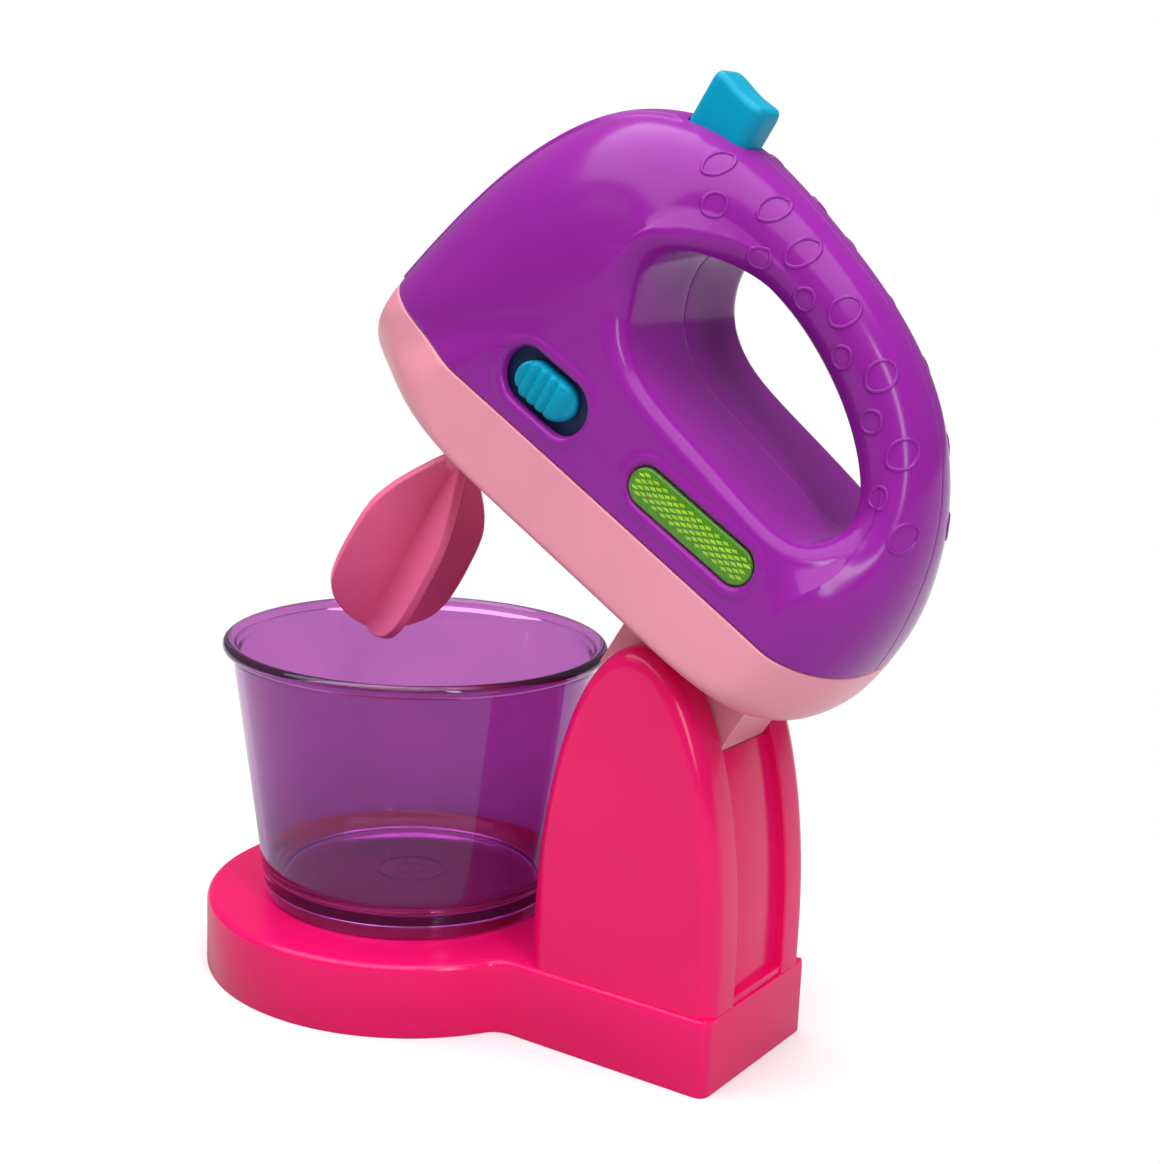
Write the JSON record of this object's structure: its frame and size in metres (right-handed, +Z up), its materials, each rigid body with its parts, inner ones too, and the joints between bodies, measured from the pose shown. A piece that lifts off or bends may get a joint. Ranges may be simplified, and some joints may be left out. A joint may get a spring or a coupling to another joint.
{
  "type": "toy stand mixer",
  "caption": "Toy stand mixer with tilting head, spinning beater, lift-out bowl, sliding side switch and push button.",
  "frame": {"origin": "centre of the round platform, on the floor", "axes": "+Z up, +X from the bowl to the tower, -Y towards the side with the switch"},
  "size_m": [0.2009, 0.11, 0.2368],
  "materials": {
    "turquoise_plastic": "glossy moulded",
    "hot_pink_plastic": "glossy moulded",
    "light_pink_plastic": "glossy moulded",
    "rose_plastic": "satin moulded",
    "clear_purple_plastic": "clear tinted, glossy",
    "purple_plastic": "glossy moulded",
    "clear_green_plastic": "clear tinted, glittery",
    "dark_plastic": "matt",
    "nylon": "matt natural",
    "steel": "plain",
    "bronze": "sintered bush",
    "cell_jacket": "printed jacket, plain",
    "board": "satin board"
  },
  "bodies": {
    "base": {"base_shell": "hot_pink_plastic", "base_plate": "hot_pink_plastic", "base_screws": "steel", "tower_left": "hot_pink_plastic", "tower_right": "hot_pink_plastic", "tower_core": "hot_pink_plastic", "tower_screws": "steel", "hinge_pin": "steel", "hinge_washers": "nylon"},
    "bowl": {"bowl": "clear_purple_plastic"},
    "head": {"tilt_neck": "light_pink_plastic", "neck_screws": "steel", "lower_shell": "light_pink_plastic", "upper_shell_left": "purple_plastic", "upper_shell_right": "purple_plastic", "shell_screws": "steel", "tray_screws": "steel", "battery_door": "light_pink_plastic", "door_screw": "steel", "batteries": "cell_jacket", "battery_contacts": "steel", "gearbox_base": "nylon", "gearbox_cover": "nylon", "gearbox_screws": "steel", "gear_axle": "steel", "spindle_bush": "bronze", "motor": "steel", "circuit_board": "board", "led": "nylon", "lens": "clear_green_plastic", "reflector": "nylon", "switch_recess": "dark_plastic", "slide_switch": "steel", "button_guide": "nylon", "button_spring": "steel", "button_switch": "dark_plastic"},
    "beater": {"output_gear": "nylon", "drive_spindle": "steel", "beater": "rose_plastic"},
    "idler": {"idler_gear": "nylon"},
    "rotor": {"motor_pinion": "bronze"},
    "slider": {"power_slider": "turquoise_plastic"},
    "button": {"top_button": "turquoise_plastic"}
  },
  "joints": [
    {"name": "head_tilt", "type": "hinge", "parent": "base", "child": "head", "pos_m": [0.084, 0, 0.088], "axis": [0, 1, 0], "range_deg": [-31, 0]},
    {"name": "bowl_lift", "type": "slide", "parent": "base", "child": "bowl", "axis": [0, 0, 1], "range_m": [0, 0.025]},
    {"name": "beater_spin", "type": "hinge", "parent": "head", "child": "beater", "pos_m": [0.009, 0, 0.13307], "axis": [0.515, 0, 0.8572], "continuous": true},
    {"name": "idler_spin", "type": "hinge", "parent": "head", "child": "idler", "pos_m": [0.02271, 0, 0.12483], "axis": [0.515, 0, 0.8572], "continuous": true},
    {"name": "motor_spin", "type": "hinge", "parent": "head", "child": "rotor", "pos_m": [0.009, 0, 0.13307], "axis": [0.515, 0, 0.8572], "continuous": true},
    {"name": "power_slide", "type": "slide", "parent": "head", "child": "slider", "axis": [0.8572, 0, -0.515], "range_m": [-0.0035, 0.0035]},
    {"name": "button_press", "type": "slide", "parent": "head", "child": "button", "axis": [0.515, 0, 0.8572], "range_m": [-0.003, 0], "stiffness_N_per_m": 300, "springref_m": 0.001, "deforming": ["button_spring"]}
  ],
  "couplings": [
    {"joint": "idler_spin", "follows": "beater_spin", "ratio": -3},
    {"joint": "motor_spin", "follows": "beater_spin", "ratio": 9}
  ]
}
